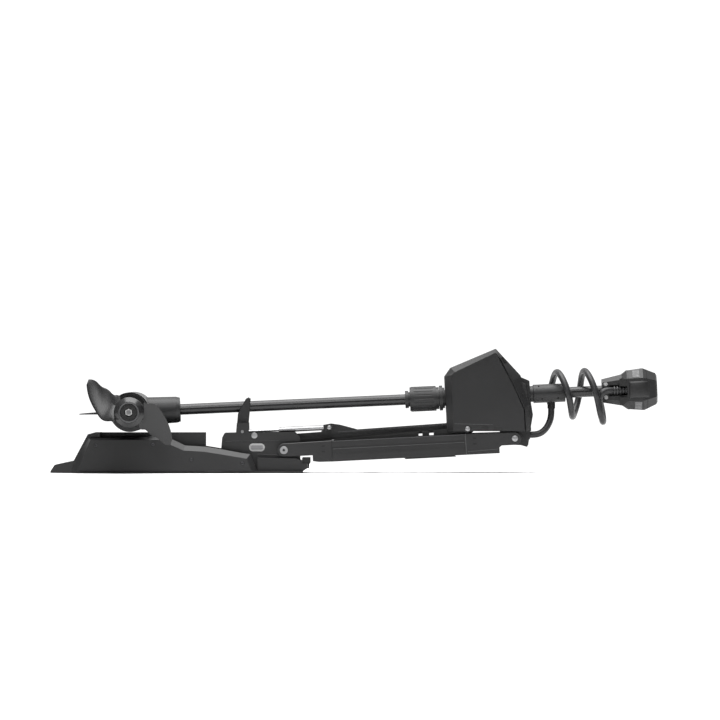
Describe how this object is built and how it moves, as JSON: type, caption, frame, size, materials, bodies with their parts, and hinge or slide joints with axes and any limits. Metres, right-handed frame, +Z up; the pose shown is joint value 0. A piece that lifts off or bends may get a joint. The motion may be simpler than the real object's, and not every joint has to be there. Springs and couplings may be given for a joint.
{
  "type": "bow-mount electric trolling motor",
  "caption": "Bow-mount electric trolling motor, folded on its deck mount: hinged arm, sliding shaft, steering housing, control head, motor pod and propeller.",
  "frame": {"origin": "centre of the four deck bolts, on the underside of the base plate", "axes": "+X inboard along the folded shaft towards the control head, +Y to starboard (the propeller is on -Y when folded), +Z up from the deck"},
  "size_m": [1.6667, 0.414, 0.3402],
  "materials": {
    "coated_steel": "satin",
    "black_casting": "satin",
    "black_plastic": "satin",
    "black_composite": "matte",
    "black_rubber": "matte",
    "dark_screws": "satin",
    "light_plastic": "satin",
    "pin_steel": "satin",
    "spring_steel": "satin",
    "bright_rod": "polished",
    "bearing_plastic": "satin",
    "inner_alloy": "satin",
    "motor_steel": "satin",
    "board_green": "satin",
    "cable_rubber": "satin",
    "gear_brass": "satin",
    "shaft_composite": "satin",
    "propeller_plastic": "satin"
  },
  "bodies": {
    "base": {"base_plate": "coated_steel", "nose_casting": "black_casting", "side_covers": "black_plastic", "cover_screws": "dark_screws", "motor_rest": "black_composite", "rubber_pads": "black_rubber", "left_hinge_wall": "black_casting", "right_hinge_wall": "black_casting", "button_rim": "light_plastic", "rear_cover": "black_plastic", "cable_gland": "black_rubber", "shaft_yoke": "black_plastic", "hinge_pins": "pin_steel"},
    "release_button_body": {"release_button": "light_plastic"},
    "main_arm": {"arm_knuckles": "black_casting", "arm_rails": "black_casting", "arm_forks": "black_casting", "arm_screws": "dark_screws", "arm_ties": "black_casting", "elbow_pins": "pin_steel"},
    "link_arm": {"link_rail": "black_casting", "link_ends": "black_casting", "spring_bracket": "black_casting"},
    "gas_cylinder_pair": {"gas_cylinders": "spring_steel"},
    "gas_rod_pair": {"gas_rods": "bright_rod"},
    "housing": {"housing_left_shell": "black_plastic", "housing_right_shell": "black_plastic", "housing_end_cover": "black_plastic", "link_elbow_pin": "pin_steel", "neck_ring": "black_plastic", "quill_bearings": "bearing_plastic", "gearbox_frame": "inner_alloy", "steering_motor": "motor_steel", "control_board": "board_green", "cable_tail": "cable_rubber"},
    "pinion": {"steering_pinion": "gear_brass"},
    "quill": {"quill_tube": "inner_alloy", "steering_gear": "bearing_plastic", "neck_barrel": "black_plastic", "depth_collar": "black_plastic", "cable_boot": "cable_rubber", "cable_coil": "cable_rubber", "cable_leads": "cable_rubber"},
    "shaft": {"shaft_tube": "shaft_composite", "pod_socket": "black_plastic", "pod_shell": "black_casting", "pod_end_cap": "black_casting", "pod_nose_cone": "black_casting", "skeg": "black_plastic", "motor_stator": "motor_steel", "pod_bearings": "inner_alloy", "head_neck": "black_plastic", "head_shell": "black_plastic", "head_board": "board_green", "head_relief": "cable_rubber", "neck_screws": "light_plastic"},
    "propeller_set": {"propeller": "propeller_plastic", "prop_nut": "light_plastic", "prop_shaft": "pin_steel", "motor_rotor": "motor_steel"}
  },
  "joints": [
    {"name": "deploy", "type": "hinge", "parent": "base", "child": "main_arm", "pos_m": [0.314, 0, 0.0625], "axis": [0, -1, 0], "range_deg": [0, 169.2]},
    {"name": "elbow", "type": "hinge", "parent": "main_arm", "child": "housing", "pos_m": [0.94669, 0, 0.09455], "axis": [0, -1, 0], "range_deg": [-82, 0]},
    {"name": "link_elbow", "type": "hinge", "parent": "housing", "child": "link_arm", "pos_m": [0.817, 0, 0.121], "axis": [0, -1, 0], "range_deg": [0, 99]},
    {"name": "spring_pivot", "type": "hinge", "parent": "link_arm", "child": "gas_cylinder_pair", "pos_m": [0.438, 0, 0.124], "axis": [0, -1, 0], "range_deg": [0, 9]},
    {"name": "spring_stroke", "type": "slide", "parent": "gas_cylinder_pair", "child": "gas_rod_pair", "axis": [0.9989, 0, 0.0462], "range_m": [0, 0.0615]},
    {"name": "steer", "type": "hinge", "parent": "housing", "child": "quill", "pos_m": [-0.1045, 0, 0.1673], "axis": [0.999, 0, 0.0441], "range_deg": [-90.5, 0], "deforming": ["cable_tail"]},
    {"name": "pinion_spin", "type": "hinge", "parent": "housing", "child": "pinion", "pos_m": [0.79704, 0, 0.26569], "axis": [0.999, 0, 0.0441], "range_deg": [0, 301]},
    {"name": "depth", "type": "slide", "parent": "quill", "child": "shaft", "axis": [0.999, 0, 0.0441], "range_m": [0, 0.12], "deforming": ["cable_coil", "cable_leads"]},
    {"name": "prop_spin", "type": "hinge", "parent": "shaft", "child": "propeller_set", "pos_m": [-0.1045, 0, 0.1673], "axis": [0, 1, 0], "continuous": true},
    {"name": "release_press", "type": "slide", "parent": "base", "child": "release_button_body", "axis": [0, 1, 0], "range_m": [0, 0.004], "stiffness_N_per_m": 500}
  ],
  "couplings": [
    {"joint": "elbow", "follows": "deploy", "ratio": -0.48298},
    {"joint": "link_elbow", "follows": "deploy", "ratio": 0.58339},
    {"joint": "spring_pivot", "follows": "deploy", "ratio": 0.05272},
    {"joint": "spring_stroke", "follows": "deploy", "m_per_rad": 0.020775},
    {"joint": "steer", "follows": "deploy", "ratio": -0.53191},
    {"joint": "pinion_spin", "follows": "deploy", "ratio": 1.7731}
  ]
}
